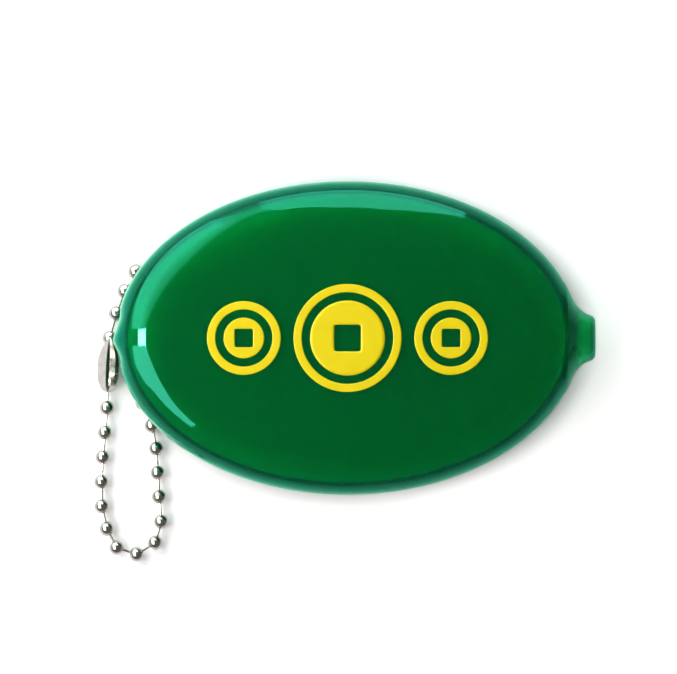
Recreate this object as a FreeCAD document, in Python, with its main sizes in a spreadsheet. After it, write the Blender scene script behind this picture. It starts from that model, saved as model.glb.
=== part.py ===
import FreeCAD, Part

import math
import os

Vector = FreeCAD.Vector

# A squeeze coin purse lying on its back, with a ball chain through two holes at its left end.
# Millimetres. X runs to the moulding nub, Y across the oval, Z up from the table to the printed front.
# The origin is the middle of the flat resting face on the back.

doc = FreeCAD.newDocument("coin_purse")


# Sizes that drive the part

SIZES = {
    # moulded vinyl shell
    "oval_length": 73.2,
    "oval_width": 49.6,
    "thickness": 17.0,
    "wall": 1.8,
    "rim_radius": 7.0,
    # closed moulding nub on the right end
    "nub_reach": 2.5,
    "nub_tip_width": 6.4,
    "nub_tip_depth": 4.8,
    "nub_root_width": 14.6,
    "nub_root_depth": 9.6,
    "nub_root_inset": 2.0,
    "nub_edge_radius": 0.8,
    # slit mouth on the back, set in from the ends and the sides of the oval
    "mouth_end_margin": 9.6,
    "mouth_side_margin": 12.3,
    "slit_gap": 0.3,
    "lip_gap": 0.15,
    # how far a cutting tool stands clear of the wall that it cuts
    "cutter_margin": 1.5,
    # holes for the chain, as turns around the oval and a tilt below the level
    "hole_diameter": 3.8,
    "upper_hole_turn": 151.0,
    "upper_hole_tilt": 42.5,
    "lower_hole_turn": 199.0,
    "lower_hole_tilt": 53.0,
    # ball chain
    "bead_diameter": 2.4,
    "bead_wall": 0.2,
    "bead_hole_diameter": 0.72,
    "wire_diameter": 0.46,
    "head_diameter": 0.76,
    "head_inset": 0.45,
    "inside_rise": 0.4,
    # chain connector
    "connector_diameter": 3.2,
    "connector_wall": 0.22,
    "connector_slot": 2.6,
    "connector_end_hole": 2.3,
    # printed coins
    "ink_thickness": 0.1,
    "coin_diameter": 17.0,
    "side_coin_diameter": 11.6,
    "coin_line": 1.3,
    "coin_groove": 1.3,
    "coin_hole_width": 4.2,
    "side_coin_hole_width": 2.9,
    "coin_spacing": 2.0,
}

sheet = doc.addObject("Spreadsheet::Sheet", "sizes")
for row, (alias, number) in enumerate(SIZES.items(), start=1):
    sheet.set("A%d" % row, alias)
    sheet.set("B%d" % row, str(number))
    sheet.setAlias("B%d" % row, alias)
doc.recompute()


def size(alias):
    """Number in the sheet under this name."""
    return float(sheet.get(alias))


# The chain by its bead centres. Beside the shell a bead has its turn around the oval and its distance
# outside the oval's outline. The free loop has X from the left tip and Y from the last bead under the rim.

UPPER_RUN = [(180.0, 1.0), (171.2, 0.44), (162.9, 0.3), (155.4, 0.3)]
INSIDE_RUN = [(151.4, -5.8), (162.6, -7.6), (177.0, -7.0), (192.0, -6.4)]
LOWER_RUN = [(205.5, -0.8)]
FREE_LOOP = [
    (5.7, -3.65), (6.35, -7.3), (6.6, -11.1), (6.85, -14.9), (7.15, -18.8), (6.2, -22.15),
    (3.26, -24.0), (0.07, -22.95), (-1.46, -19.95), (-2.25, -16.4), (-2.3, -12.55), (-2.1, -8.65),
    (-1.75, -4.75), (-1.45, -0.85), (-1.35, 3.05),
]

# The nub's sections, as shares of its length from root to tip, and how quickly its flare dies away.

NUB_STATIONS = (0.0, 0.2, 0.4, 0.65, 1.0)
NUB_FLARE = 2.2


# Small building steps

def bind(obj, **expressions):
    """Tie properties of an object to the sheet."""
    for name, expression in expressions.items():
        obj.setExpression(name, expression)
    return obj


def add(kind, name, **expressions):
    return bind(doc.addObject("Part::" + kind, name), **expressions)


def lift(obj, expression):
    """Set an object's height from the sheet."""
    obj.setExpression(".Placement.Base.z", expression)
    return obj


def cut(name, base, tool):
    obj = doc.addObject("Part::Cut", name)
    obj.Base = base
    obj.Tool = tool
    return obj


def joined(kind, name, shapes):
    obj = doc.addObject("Part::" + kind, name)
    obj.Shapes = shapes
    return obj


def along(start, direction):
    """Placement that stands a cylinder at a point, pointing along a direction."""
    return FreeCAD.Placement(start, FreeCAD.Rotation(Vector(0, 0, 1), direction))


# Vinyl shell

def pebble(name, inset, inset_now):
    """Oval body with flat faces and rounded rims, inset everywhere by one size of the sheet."""
    oval = add(
        "Ellipse", name + "_oval",
        MajorRadius="sizes.oval_length / 2 - %s" % inset,
        MinorRadius="sizes.oval_width / 2 - %s" % inset,
    )
    lift(oval, inset)
    prism = add("Extrusion", name + "_prism", LengthFwd="sizes.thickness - 2 * %s" % inset)
    prism.Base = oval
    prism.DirMode = "Custom"
    prism.Dir = Vector(0, 0, 1)
    prism.Solid = True
    doc.recompute()
    rim_radius = size("rim_radius") - inset_now
    half_length = size("oval_length") / 2
    rims = [i for i, edge in enumerate(prism.Shape.Edges, start=1) if edge.BoundBox.XLength > half_length]
    rounded = doc.addObject("Part::Fillet", name)
    rounded.Base = prism
    rounded.Edges = [(i, rim_radius, rim_radius) for i in rims]
    return rounded


def moulding_nub():
    """Closed filling neck: oval sections flare from a blunt tip into the end of the shell."""
    across = FreeCAD.Rotation(Vector(0, 1, 0), Vector(0, 0, 1), Vector(1, 0, 0), "XYZ")
    sections = []
    for number, share in enumerate(NUB_STATIONS):
        flare = "(sizes.nub_tip_{0} + %.4f * (sizes.nub_root_{0} - sizes.nub_tip_{0})) / 2"
        flare = flare % (1 - share) ** NUB_FLARE
        section = add(
            "Ellipse", "nub_section_%d" % number,
            MajorRadius=flare.format("width"),
            MinorRadius=flare.format("depth"),
        )
        section.Placement.Rotation = across
        from_root = "%.2f * (sizes.nub_root_inset + sizes.nub_reach)" % share
        root = "sizes.oval_length / 2 - sizes.nub_root_inset"
        section.setExpression(".Placement.Base.x", root + " + " + from_root)
        lift(section, "sizes.thickness / 2")
        sections.append(section)
    loft = doc.addObject("Part::Loft", "nub_loft")
    loft.Sections = sections
    loft.Solid = True
    doc.recompute()
    tip = max(range(len(loft.Shape.Edges)), key=lambda i: loft.Shape.Edges[i].BoundBox.XMin)
    nub = doc.addObject("Part::Fillet", "nub")
    nub.Base = loft
    nub.Edges = [(tip + 1, size("nub_edge_radius"), size("nub_edge_radius"))]
    return nub


def outline(turn):
    """Point of the oval's outline at a turn around it in degrees, and the direction outwards there."""
    half_length = size("oval_length") / 2
    half_width = size("oval_width") / 2
    angle = math.radians(turn)
    edge = Vector(half_length * math.cos(angle), half_width * math.sin(angle), 0)
    outward = Vector(math.cos(angle) / half_length, math.sin(angle) / half_width, 0)
    return edge, outward.normalize()


def rim_place(side):
    """Middle of the shell's wall in a chain hole, and the hole's outward direction."""
    tilt = math.radians(size(side + "_hole_tilt"))
    edge, outward = outline(size(side + "_hole_turn"))
    rim_centre = edge - outward * size("rim_radius") + Vector(0, 0, size("rim_radius"))
    axis = outward * math.cos(tilt) - Vector(0, 0, math.sin(tilt))
    return rim_centre + axis * (size("rim_radius") - size("wall") / 2), axis


def chain_hole(side):
    middle, axis = rim_place(side)
    hole = add(
        "Cylinder", side + "_chain_hole",
        Radius="sizes.hole_diameter / 2",
        Height="sizes.wall + 2 * sizes.cutter_margin",
    )
    hole.Placement = along(middle - axis * (size("wall") / 2 + size("cutter_margin")), axis)
    return hole


def mouth_box(name, end_gap, near, far):
    """Block through the back half of the shell between two distances from the slit line."""
    half_mouth = "sizes.oval_length / 2 - sizes.mouth_end_margin - %s" % end_gap
    box = add(
        "Box", name,
        Length="2 * (%s)" % half_mouth,
        Width="%s - (%s)" % (far, near),
        Height="sizes.thickness / 2",
    )
    box.setExpression(".Placement.Base.x", "-(%s)" % half_mouth)
    box.setExpression(".Placement.Base.y", near)
    lift(box, "-sizes.cutter_margin")
    return box


outside = joined("MultiFuse", "outside", [pebble("body", "0", 0.0), moulding_nub()])
cavity = pebble("cavity", "sizes.wall", size("wall"))
hollowed = cut("hollowed", outside, cavity)
holes = joined("MultiFuse", "chain_holes", [chain_hole("upper"), chain_hole("lower")])
moulding = cut("moulding", hollowed, holes)

hinge_line = "(sizes.oval_width / 2 - sizes.mouth_side_margin)"
window = mouth_box("mouth_window", "0", "-" + hinge_line, hinge_line)
front_shell = cut("front_shell", moulding, window)

lip_edge = "(%s - sizes.lip_gap)" % hinge_line
upper_block = mouth_box("upper_block", "sizes.lip_gap", "sizes.slit_gap / 2", lip_edge)
lower_block = mouth_box("lower_block", "sizes.lip_gap", "-" + lip_edge, "-sizes.slit_gap / 2")
upper_lip = joined("MultiCommon", "upper_lip", [moulding, upper_block])
lower_lip = joined("MultiCommon", "lower_lip", [moulding, lower_block])


# Printed coins: one large between two small, each a ring around a disc with a square hole

def coin(name, diameter, hole_width, place):
    """Ring and pierced disc of ink on the front face."""
    layers = []
    for part, radius in (
        ("outer", "%s / 2" % diameter),
        ("inner", "%s / 2 - sizes.coin_line" % diameter),
        ("disc", "%s / 2 - sizes.coin_line - sizes.coin_groove" % diameter),
    ):
        layer = add("Cylinder", name + "_" + part, Radius=radius, Height="sizes.ink_thickness")
        layer.setExpression(".Placement.Base.x", place)
        layers.append(lift(layer, "sizes.thickness"))
    square = add("Box", name + "_square", Length=hole_width, Width=hole_width, Height="sizes.ink_thickness")
    square.setExpression(".Placement.Base.x", "%s - %s / 2" % (place, hole_width))
    square.setExpression(".Placement.Base.y", "-%s / 2" % hole_width)
    lift(square, "sizes.thickness")
    return [cut(name + "_ring", layers[0], layers[1]), cut(name + "_pierced", layers[2], square)]


side_place = "((sizes.coin_diameter + sizes.side_coin_diameter) / 2 + sizes.coin_spacing)"
coins = coin("coin", "sizes.coin_diameter", "sizes.coin_hole_width", "0")
for name, place in (("left_coin", "-" + side_place), ("right_coin", side_place)):
    coins += coin(name, "sizes.side_coin_diameter", "sizes.side_coin_hole_width", place)
front_print = joined("MultiFuse", "front_print", coins)


# Ball chain, from the connector's upper bead through the shell and around to its lower bead

def beside(turn, out):
    """Place at a turn around the oval and a distance outside its outline."""
    edge, outward = outline(turn)
    return edge + outward * out


def on_table(place):
    return place + Vector(0, 0, size("bead_diameter") / 2)


def inside_back(place):
    return on_table(place) + Vector(0, 0, size("wall") + size("inside_rise"))


def chain_places():
    """Centres of the beads in order. The table carries the chain outside, the back wall inside."""
    places = [on_table(beside(turn, out)) for turn, out in UPPER_RUN]
    places.append(rim_place("upper")[0])
    places += [inside_back(beside(turn, out)) for turn, out in INSIDE_RUN]
    places.append(rim_place("lower")[0])
    places += [on_table(beside(turn, out)) for turn, out in LOWER_RUN]
    left_tip = -size("oval_length") / 2
    loop_start = places[-1].y
    places += [on_table(Vector(left_tip + x, loop_start + y, 0)) for x, y in FREE_LOOP]
    return places


def bead(name, place, directions):
    """Hollow ball with a hole for each wire."""
    ball = add("Sphere", name + "_ball", Radius="sizes.bead_diameter / 2")
    hollow = add("Sphere", name + "_hollow", Radius="sizes.bead_diameter / 2 - sizes.bead_wall")
    # The seam of the ball faces the outside of the bend, clear of both holes.
    tangent = directions[1] - directions[0]
    seam = Vector(-tangent.y, tangent.x, 0)
    if seam.dot(directions[0] + directions[1]) > 0:
        seam = seam * -1
    ball.Placement = FreeCAD.Placement(place, FreeCAD.Rotation(Vector(1, 0, 0), seam))
    hollow.Placement = ball.Placement
    inside = [hollow]
    for number, direction in enumerate(directions):
        hole = add(
            "Cylinder", "%s_hole_%d" % (name, number),
            Radius="sizes.bead_hole_diameter / 2",
            Height="sizes.bead_diameter",
        )
        hole.Placement = along(place, direction)
        inside.append(hole)
    return cut(name, ball, joined("MultiFuse", name + "_inside", inside))


def link(name, start, end):
    """Wire with a round head inside the bead at each end."""
    direction = (end - start).normalize()
    first = start + direction * size("head_inset")
    last = end - direction * size("head_inset")
    wire = add("Cylinder", name + "_wire", Radius="sizes.wire_diameter / 2")
    wire.Height = (last - first).Length
    wire.Placement = along(first, direction)
    heads = []
    for end_name, place in (("first", first), ("last", last)):
        head = add("Sphere", "%s_%s_head" % (name, end_name), Radius="sizes.head_diameter / 2")
        head.Placement = along(place, direction)
        heads.append(head)
    return joined("MultiFuse", name, [wire] + heads)


def capsule(name, radius, start, end):
    """Round-ended rod between two points."""
    direction = (end - start).normalize()
    rod = add("Cylinder", name + "_rod", Radius=radius)
    rod.Height = (end - start).Length
    rod.Placement = along(start, direction)
    ends = []
    for end_name, place in (("first", start), ("last", end)):
        dome = add("Sphere", "%s_%s_dome" % (name, end_name), Radius=radius)
        dome.Placement = along(place, direction)
        ends.append(dome)
    return joined("MultiFuse", name, [rod] + ends)


def connector(first, last):
    """Folded sheet trough around the two end beads, open on the side that faces the table."""
    direction = (last - first).normalize()
    open_side = Vector(0, 0, -1)
    across = direction.cross(open_side)
    over = size("connector_diameter")
    full_length = (last - first).Length + 2 * over
    skin = capsule("connector_skin", "sizes.connector_diameter / 2", first, last)
    inner = "sizes.connector_diameter / 2 - sizes.connector_wall"
    hollow = capsule("connector_hollow", inner, first, last)
    end_hole = add("Cylinder", "connector_end_holes", Radius="sizes.connector_end_hole / 2")
    end_hole.Height = full_length
    end_hole.Placement = along(first - direction * over, direction)
    inner_radius = size("connector_diameter") / 2 - size("connector_wall")
    depth = math.sqrt(max(inner_radius ** 2 - (size("connector_slot") / 2) ** 2, 0.0))
    slot = add(
        "Box", "connector_slot_block",
        Length="sizes.connector_diameter",
        Width="sizes.connector_diameter",
    )
    slot.Height = full_length
    corner = first - direction * over + open_side * depth - across * (over / 2)
    slot.Placement = FreeCAD.Placement(corner, FreeCAD.Rotation(open_side, across, direction, "ZXY"))
    return cut("chain_connector", skin, joined("MultiFuse", "connector_inside", [hollow, end_hole, slot]))


places = chain_places()
pieces = [front_shell, upper_lip, lower_lip, front_print, connector(places[0], places[-1])]
last_place = len(places) - 1
for number, place in enumerate(places):
    before = places[number - 1] if number > 0 else place * 2 - places[1]
    after = places[number + 1] if number < last_place else place * 2 - places[number - 1]
    directions = [(before - place).normalize(), (after - place).normalize()]
    pieces.append(bead("bead_%02d" % (number + 1), place, directions))
for number in range(last_place):
    pieces.append(link("link_%02d" % (number + 1), places[number], places[number + 1]))


# Check and write

doc.recompute()
for obj in doc.Objects:
    if "Invalid" in obj.State or "Error" in obj.State:
        raise RuntimeError("%s failed" % obj.Name)
os.makedirs("parts", exist_ok=True)
for piece in pieces:
    piece.Label = piece.Name
    if piece.Shape.isNull() or not piece.Shape.isValid():
        raise RuntimeError("%s has no valid shape" % piece.Name)
    piece.Shape.exportStep("parts/%s.step" % piece.Name)
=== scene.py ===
# %% [markdown]
# # A squeeze coin purse with a ball chain
# The purse is one hollow moulding of glossy green vinyl. It lies on its back, where a slit opens when the
# ends are squeezed. A ball chain runs through two holes at the left end and is closed by a small connector.
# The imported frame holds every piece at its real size, so the lesson starts by reading sizes from it.

# %% Load the frame and read its sizes
import math

import bmesh
import bpy
import numpy as np
from mathutils import Euler, Matrix, Vector


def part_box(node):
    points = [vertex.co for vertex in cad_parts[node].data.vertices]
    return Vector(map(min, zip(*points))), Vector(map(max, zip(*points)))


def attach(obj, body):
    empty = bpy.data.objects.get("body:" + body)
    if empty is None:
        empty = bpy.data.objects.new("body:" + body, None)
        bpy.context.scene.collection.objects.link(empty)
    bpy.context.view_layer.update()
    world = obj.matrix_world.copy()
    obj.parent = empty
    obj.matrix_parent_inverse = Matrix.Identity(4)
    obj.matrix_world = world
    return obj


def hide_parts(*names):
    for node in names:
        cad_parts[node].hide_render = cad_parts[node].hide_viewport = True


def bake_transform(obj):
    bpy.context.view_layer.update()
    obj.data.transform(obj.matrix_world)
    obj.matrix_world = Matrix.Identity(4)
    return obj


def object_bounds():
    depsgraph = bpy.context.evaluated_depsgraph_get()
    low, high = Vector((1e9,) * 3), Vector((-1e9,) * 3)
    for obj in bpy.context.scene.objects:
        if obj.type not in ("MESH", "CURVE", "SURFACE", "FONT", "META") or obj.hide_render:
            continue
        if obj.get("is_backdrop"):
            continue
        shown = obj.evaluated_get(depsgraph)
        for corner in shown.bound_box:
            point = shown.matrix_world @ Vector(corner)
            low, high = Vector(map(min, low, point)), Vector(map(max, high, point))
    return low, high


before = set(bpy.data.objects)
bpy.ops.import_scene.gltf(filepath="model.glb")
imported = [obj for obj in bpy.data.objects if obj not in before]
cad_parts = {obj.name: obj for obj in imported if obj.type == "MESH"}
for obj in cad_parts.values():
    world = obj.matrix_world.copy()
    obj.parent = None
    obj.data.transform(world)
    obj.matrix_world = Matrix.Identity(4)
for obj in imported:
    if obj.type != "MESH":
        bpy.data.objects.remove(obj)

MM = 0.001
cad_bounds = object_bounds()
shell_low, shell_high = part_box("front_shell")
HALF_LENGTH = -shell_low.x
HALF_WIDTH = shell_high.y
HALF_THICKNESS = shell_high.z / 2
NUB_TIP = shell_high.x
print("shell half sizes in mm:", [round(v / MM, 2) for v in (HALF_LENGTH, HALF_WIDTH, HALF_THICKNESS)])

# %% [markdown]
# ## Helpers
# Colours are written the way a paint chart gives them, as sRGB hex, and Blender's sockets want linear light.
# A node tree is easier to read when each node is one call that names its settings and what feeds it.

# %% Colour and node helpers
# A Mix node has a set of sockets for each kind of value, and these are the numbers of its colour sockets.
COLOUR_A, COLOUR_B, COLOUR_OUT = 6, 7, 2


def linear(colour):
    """Linear RGBA of an sRGB hex colour."""
    channels = [int(colour[i:i + 2], 16) / 255 for i in (1, 3, 5)]
    return [c / 12.92 if c <= 0.04045 else ((c + 0.055) / 1.055) ** 2.4 for c in channels] + [1.0]


def feed(node, inputs):
    """Links each input to a socket or to the first output of a node, or sets it to a value."""
    for socket, value in inputs.items():
        if isinstance(value, bpy.types.Node):
            value = value.outputs[0]
        if isinstance(value, bpy.types.NodeSocket):
            node.id_data.links.new(value, node.inputs[socket])
        else:
            node.inputs[socket].default_value = value


def add_node(tree, kind, inputs=None, stops=(), **settings):
    """Node with its settings, the stops of its ramp and what feeds its inputs."""
    made = tree.nodes.new(kind)
    for name, value in settings.items():
        setattr(made, name, value)
    for number, (position, colour) in enumerate(stops):
        ramp = made.color_ramp.elements
        stop = ramp[number] if number < len(ramp) else ramp.new(position)
        stop.position = position
        stop.color = linear(colour)
    feed(made, inputs or {})
    return made


def new_material(name):
    """Material with its tree, its Principled shader and the piece's own coordinates."""
    material = bpy.data.materials.new(name)
    material.use_nodes = True
    tree = material.node_tree
    place = add_node(tree, "ShaderNodeTexCoord").outputs["Object"]
    return material, tree, tree.nodes["Principled BSDF"], place


print("helpers ready")

# %% [markdown]
# ## Ink and nickel
# The print is a screen ink with a little body: opaque, half matt, with a faint unevenness where the squeegee
# left it. The chain is nickel plated steel, a mirror with fine rubbing marks that vary its roughness.

# %% Ink and plated steel
INK_COLOUR = "#F8E203"
INK_SHADE = "#EFD601"
INK_PATCH = 2.5 * MM
NICKEL_COLOUR = "#C8C5BF"
NICKEL_SHADE = "#A09C96"
NICKEL_ROUGHNESS = (0.1, 0.24)
RUB_SIZE = 0.9 * MM
RUB_SHARE = (0.3, 0.7)


def screen_ink():
    # A thin opaque layer hides the green below it, and its half matt skin spreads the light softly.
    material, tree, shader, place = new_material("yellow_screen_ink")
    patches = add_node(tree, "ShaderNodeTexNoise", {"Vector": place, "Scale": 1 / INK_PATCH, "Detail": 4.0})
    tone = add_node(
        tree, "ShaderNodeMix",
        {0: patches.outputs["Fac"], COLOUR_A: linear(INK_COLOUR), COLOUR_B: linear(INK_SHADE)},
        data_type="RGBA",
    ).outputs[COLOUR_OUT]
    feed(shader, {"Base Color": tone, "Roughness": 0.42, "IOR": 1.5, "Specular IOR Level": 0.25})
    return material


def plated_steel():
    # Bright nickel mirrors the white sheet in a warm grey, and rubbing blurs the mirror in places.
    material, tree, shader, place = new_material("nickel_plated_steel")
    rubs = add_node(tree, "ShaderNodeTexNoise", {"Vector": place, "Scale": 1 / RUB_SIZE, "Detail": 5.0})
    rough = add_node(
        tree, "ShaderNodeMapRange",
        {
            "Value": rubs.outputs["Fac"], "From Min": RUB_SHARE[0], "From Max": RUB_SHARE[1],
            "To Min": NICKEL_ROUGHNESS[0], "To Max": NICKEL_ROUGHNESS[1],
        },
    )
    tone = add_node(
        tree, "ShaderNodeMix",
        {0: rubs.outputs["Fac"], COLOUR_A: linear(NICKEL_COLOUR), COLOUR_B: linear(NICKEL_SHADE)},
        data_type="RGBA",
    ).outputs[COLOUR_OUT]
    feed(shader, {"Base Color": tone, "Roughness": rough, "Metallic": 1.0})
    return material


ink = screen_ink()
nickel = plated_steel()
print("made", ink.name, "and", nickel.name)

# %% [markdown]
# ## The rule of the shell
# The moulding follows one rule. Over every point inside the oval its half thickness rises from the outline
# along a rounded rim and runs on into a slightly crowned face. At the right end a blunt nub, the closed
# filling neck of the mould, flares out of the tip. Sections across the long axis turn this rule into a
# regular grid of quads, which mirrors cleanly where a boolean or a remesh would ripple.

# %% Half thickness of the shell
RIM_DEPTH = 11 * MM
RIM_POWER = 3.5
CROWN = 0.5 * MM
WALL = 1.8 * MM
HALVINGS = 48
TINY = 1e-9


def half_thickness(x, y, inset):
    """Half thickness of the skin over a point, for the outside or for a skin inset from it."""
    a = HALF_LENGTH - inset
    b = HALF_WIDTH - inset
    spread = np.sqrt((x / a) ** 2 + (y / b) ** 2)
    slope = np.sqrt((x / a ** 2) ** 2 + (y / b ** 2) ** 2) / np.maximum(spread, TINY)
    from_outline = (1 - spread) / np.maximum(slope, TINY)
    share = np.clip(from_outline / (RIM_DEPTH - inset), 0, 1)
    full = HALF_THICKNESS - inset - CROWN * np.minimum(spread, 1) ** 2
    return full * (1 - (1 - share) ** RIM_POWER) ** (1 / RIM_POWER)


def shell_radius(x, angle, inset):
    """Distance from the long axis to the skin, found by halving."""
    across = np.abs(np.cos(angle))
    up = np.abs(np.sin(angle))
    width = (HALF_WIDTH - inset) * np.sqrt(np.maximum(1 - (x / (HALF_LENGTH - inset)) ** 2, 0))
    low = np.zeros_like(angle)
    high = np.minimum(width / np.maximum(across, TINY), HALF_THICKNESS / np.maximum(up, TINY))
    for _ in range(HALVINGS):
        middle = (low + high) / 2
        inside = half_thickness(x, middle * across, inset) > middle * up
        low = np.where(inside, middle, low)
        high = np.where(inside, high, middle)
    return (low + high) / 2


print("half thickness at the middle:", round(float(half_thickness(0.0, 0.0, 0.0)) / MM, 2), "mm")

# %% [markdown]
# The nub has a rounded square section that narrows towards its blunt tip. Deep inside the shell it fades
# out, so that only its free end and its neck shape the skin.

# %% Nub
NUB_TIP_HALF = (3.5 * MM, 3.6 * MM)
NUB_LENGTH = 4.5 * MM
NUB_SPREAD = 4.0 * MM
NUB_FLARE = 2.0
NUB_SLOPE = 0.75
NUB_SQUARENESS = 2.6
NUB_EDGE = 0.8 * MM
NUB_MOST_HALF = (2 * NUB_SPREAD, HALF_THICKNESS - 2 * CROWN)
NUB_FADE_FROM = 2.2 * NUB_LENGTH
NUB_FADE_LENGTH = 1.2 * NUB_LENGTH


def nub_radius(x, angle):
    """Distance from the long axis to the nub, nothing far inside the shell."""
    back = np.maximum(NUB_TIP - x, 0)
    into_edge = np.clip((x - (NUB_TIP - NUB_EDGE)) / NUB_EDGE, 0, 1)
    rounding = NUB_EDGE * (1 - np.sqrt(1 - into_edge ** 2))
    half_y = NUB_TIP_HALF[0] + NUB_SPREAD * (back / NUB_LENGTH) ** NUB_FLARE - rounding
    half_z = NUB_TIP_HALF[1] + NUB_SLOPE * back - rounding
    half_y = np.minimum(half_y, NUB_MOST_HALF[0])
    half_z = np.minimum(half_z, NUB_MOST_HALF[1])
    across = np.abs(np.cos(angle)) / half_y
    up = np.abs(np.sin(angle)) / half_z
    radius = (across ** NUB_SQUARENESS + up ** NUB_SQUARENESS) ** (-1 / NUB_SQUARENESS)
    fade = np.clip((x - (NUB_TIP - NUB_FADE_FROM)) / NUB_FADE_LENGTH, 0, 1)
    return radius * fade


print("nub reaches", round((NUB_TIP - HALF_LENGTH) / MM, 2), "mm past the oval")

# %% [markdown]
# Rings of points around the long axis make the skin. Where the nub leaves the shell the two radii are joined
# by a power mean, a smooth stand-in for taking the larger one. The left tip of the purse is drawn out to a
# slight point, and the skin is a little hollow on each side of it.

# %% Rings of the skin
JOIN_POWER = 12
LEAST_WIDTH = 1e-6
LEAST_HEIGHT = 1e-3 * HALF_THICKNESS
TIP_RIM = 0.96
TIP_POINT = 0.4 * MM
TIP_POINT_Y = -0.4 * MM
TIP_POINT_WIDTH = 1.3 * MM
TIP_HOLLOW = 0.3 * MM
TIP_HOLLOW_Y = 3.2 * MM
TIP_HOLLOW_WIDTH = 1.6 * MM


def skin_grid(stations, steps, inset, with_nub):
    """Points of a skin, one ring of steps for each station along X."""
    x = stations[:, None]
    turn = np.linspace(0, 2 * math.pi, steps, endpoint=False)[None, :]
    width = (HALF_WIDTH - inset) * np.sqrt(np.maximum(1 - (x / (HALF_LENGTH - inset)) ** 2, LEAST_WIDTH))
    height = np.maximum(half_thickness(x, 0.0 * x, inset), LEAST_HEIGHT)
    angle = np.arctan2(height * np.sin(turn), width * np.cos(turn))
    if with_nub:
        past_shell = np.clip((x - HALF_LENGTH + NUB_LENGTH / 2) / (NUB_LENGTH / 2), 0, 1)
        nub_angle = np.arctan2(NUB_TIP_HALF[1] * np.sin(turn), NUB_TIP_HALF[0] * np.cos(turn))
        angle = angle + past_shell * (nub_angle - angle)
    inside_x = np.clip(x, -(HALF_LENGTH - inset), HALF_LENGTH - inset)
    radius = shell_radius(inside_x + 0 * angle, angle, inset)
    radius = np.where(np.abs(x) < HALF_LENGTH - inset, radius, 0)
    if with_nub:
        radius = (radius ** JOIN_POWER + nub_radius(x, angle) ** JOIN_POWER) ** (1 / JOIN_POWER)
    return np.stack(
        [x + 0 * angle, radius * np.cos(angle), HALF_THICKNESS + radius * np.sin(angle)], axis=-1
    )


def draw_tip(points):
    """Draws the left tip out to a slight point, with a shallow hollow on each side of it."""
    x, y = points[..., 0], points[..., 1]
    spread = np.sqrt((x / HALF_LENGTH) ** 2 + (y / HALF_WIDTH) ** 2)
    share = np.where(x < 0, np.clip((spread - TIP_RIM) / (1 - TIP_RIM), 0, 1), 0)
    point = -TIP_POINT * np.exp(-((y - TIP_POINT_Y) / TIP_POINT_WIDTH) ** 2)
    hollow = TIP_HOLLOW * np.exp(-((np.abs(y) - TIP_HOLLOW_Y) / TIP_HOLLOW_WIDTH) ** 2)
    points[..., 0] += (point + hollow) * share ** 2 * (3 - 2 * share)
    return points


def grid_faces(rings, steps, first, flip):
    """Quads between neighbouring rings of a closed skin."""
    faces = []
    for ring in range(rings - 1):
        for step in range(steps):
            a = first + ring * steps + step
            b = first + ring * steps + (step + 1) % steps
            quad = (a, b, b + steps, a + steps)
            faces.append(quad[::-1] if flip else quad)
    return faces


print("left tip is drawn out by", round(TIP_POINT / MM, 2), "mm")

# %% [markdown]
# ## Vinyl
# Soft PVC takes the polish of its mould, so its outside mirrors the lamps in crisp bands while its inside is
# dull. Light goes through the wall and comes back green. A Principled shader with transmission does this
# without a volume: the outside is smooth and the inside skin rough, so the pocket shows only as a blur. Near
# the edge the colour is painted light and shade that follows the distance from the outline: a pale teal lip
# of painted reflection, a dark line of painted shade and a bright ring of painted highlight before the even
# face.
# The painted lip is paler at the left tip, and the painted ring at the upper left.

# %% Painted light and shade of the rim
PAINTED_RIM_DEPTH = 6 * MM
# Painted light and shade by depth in mm: painted reflection in the teal lip, painted shade in the dark line,
# painted highlight in the bright ring.
PAINTED_RIM_TONES = (
    (0.0, "#78B4B6"), (0.4, "#2C9292"), (0.85, "#0E6A62"), (1.3, "#044830"), (1.9, "#01381C"),
    (2.5, "#18C46E"), (3.2, "#1AD27A"), (4.4, "#12C46F"), (6.0, "#0EB869"),
)
# Painted reflection at the left tip: its lip and dark line are painted paler.
PAINTED_TIP_TONES = (
    (0.0, "#A0D4E0"), (0.4, "#60B6D9"), (0.85, "#308FA8"), (1.3, "#0C705F"), (1.9, "#02461F"),
    (2.5, "#14C36E"), (3.2, "#18D37D"), (4.4, "#12C46F"), (6.0, "#0EB869"),
)
PAINTED_TIP_SPAN = (-35.5 * MM, -33 * MM)
RIM_TONES_SHARED = 5
# A brighter painted highlight ring on the side that faces the upper left panels.
PAINTED_RING_TONES = PAINTED_RIM_TONES[:RIM_TONES_SHARED] + (
    (2.5, "#1ACA75"), (3.2, "#1EDB84"), (4.4, "#16CA77"), (6.0, "#0FBB6B"),
)
# Towards the upper left, in the scale of the oval, where the painted ring is brighter.
PAINTED_RING_SIDE = (-0.75 / HALF_LENGTH, 0.6 / HALF_WIDTH, 0)
PAINTED_RING_SHARE = (0.6, 0.78)


def scaled_length(tree, place, scale):
    """Length of a place after each of its axes is scaled."""
    scaled = add_node(tree, "ShaderNodeVectorMath", {0: place, 1: scale}, operation="MULTIPLY")
    length = add_node(tree, "ShaderNodeVectorMath", {0: scaled}, operation="LENGTH")
    return length.outputs["Value"]


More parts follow.
